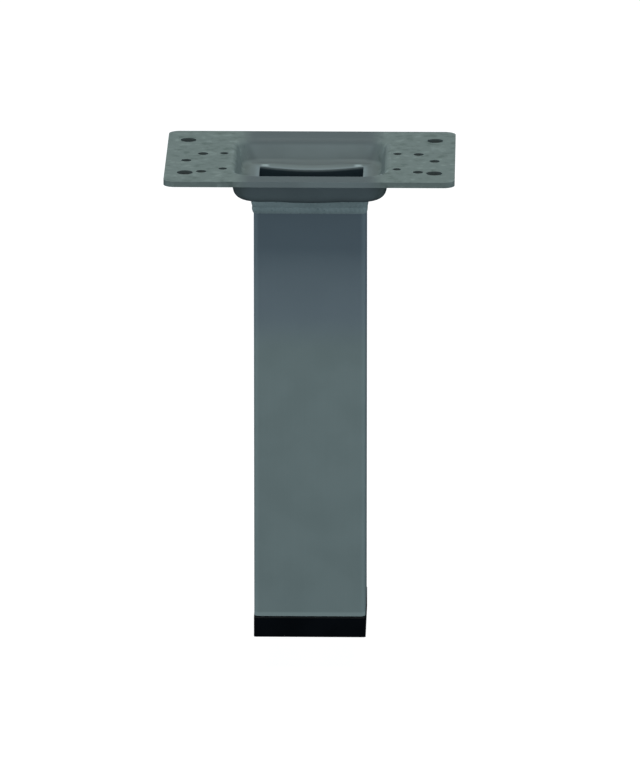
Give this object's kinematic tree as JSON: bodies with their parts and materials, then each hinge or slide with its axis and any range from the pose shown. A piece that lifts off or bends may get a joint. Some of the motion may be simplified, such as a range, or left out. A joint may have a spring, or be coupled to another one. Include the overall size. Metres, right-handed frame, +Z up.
{
  "type": "table leg",
  "caption": "Square tube table leg with a pressed mounting plate, a dish over the tube's open top, screw holes and a black levelling foot.",
  "frame": {"origin": "centre of the foot's underside, on the floor", "axes": "+Z up along the leg, X along the plate's long side, the side seen in the picture towards -Y"},
  "size_m": [0.155, 0.11, 0.26],
  "materials": {
    "satin_metal": "satin silver-grey coat",
    "black_plastic": "matt moulded",
    "zinc_steel": "zinc plated"
  },
  "bodies": {
    "leg": {"mounting_plate": "satin_metal", "leg_tube": "satin_metal", "weld_bead": "satin_metal", "tube_insert": "black_plastic", "thread_nut": "zinc_steel"},
    "foot": {"foot_pad": "black_plastic", "levelling_bolt": "zinc_steel"}
  },
  "joints": [
    {"name": "foot_travel", "type": "slide", "parent": "leg", "child": "foot", "axis": [0, 0, -1], "range_m": [0, 0.02]}
  ]
}
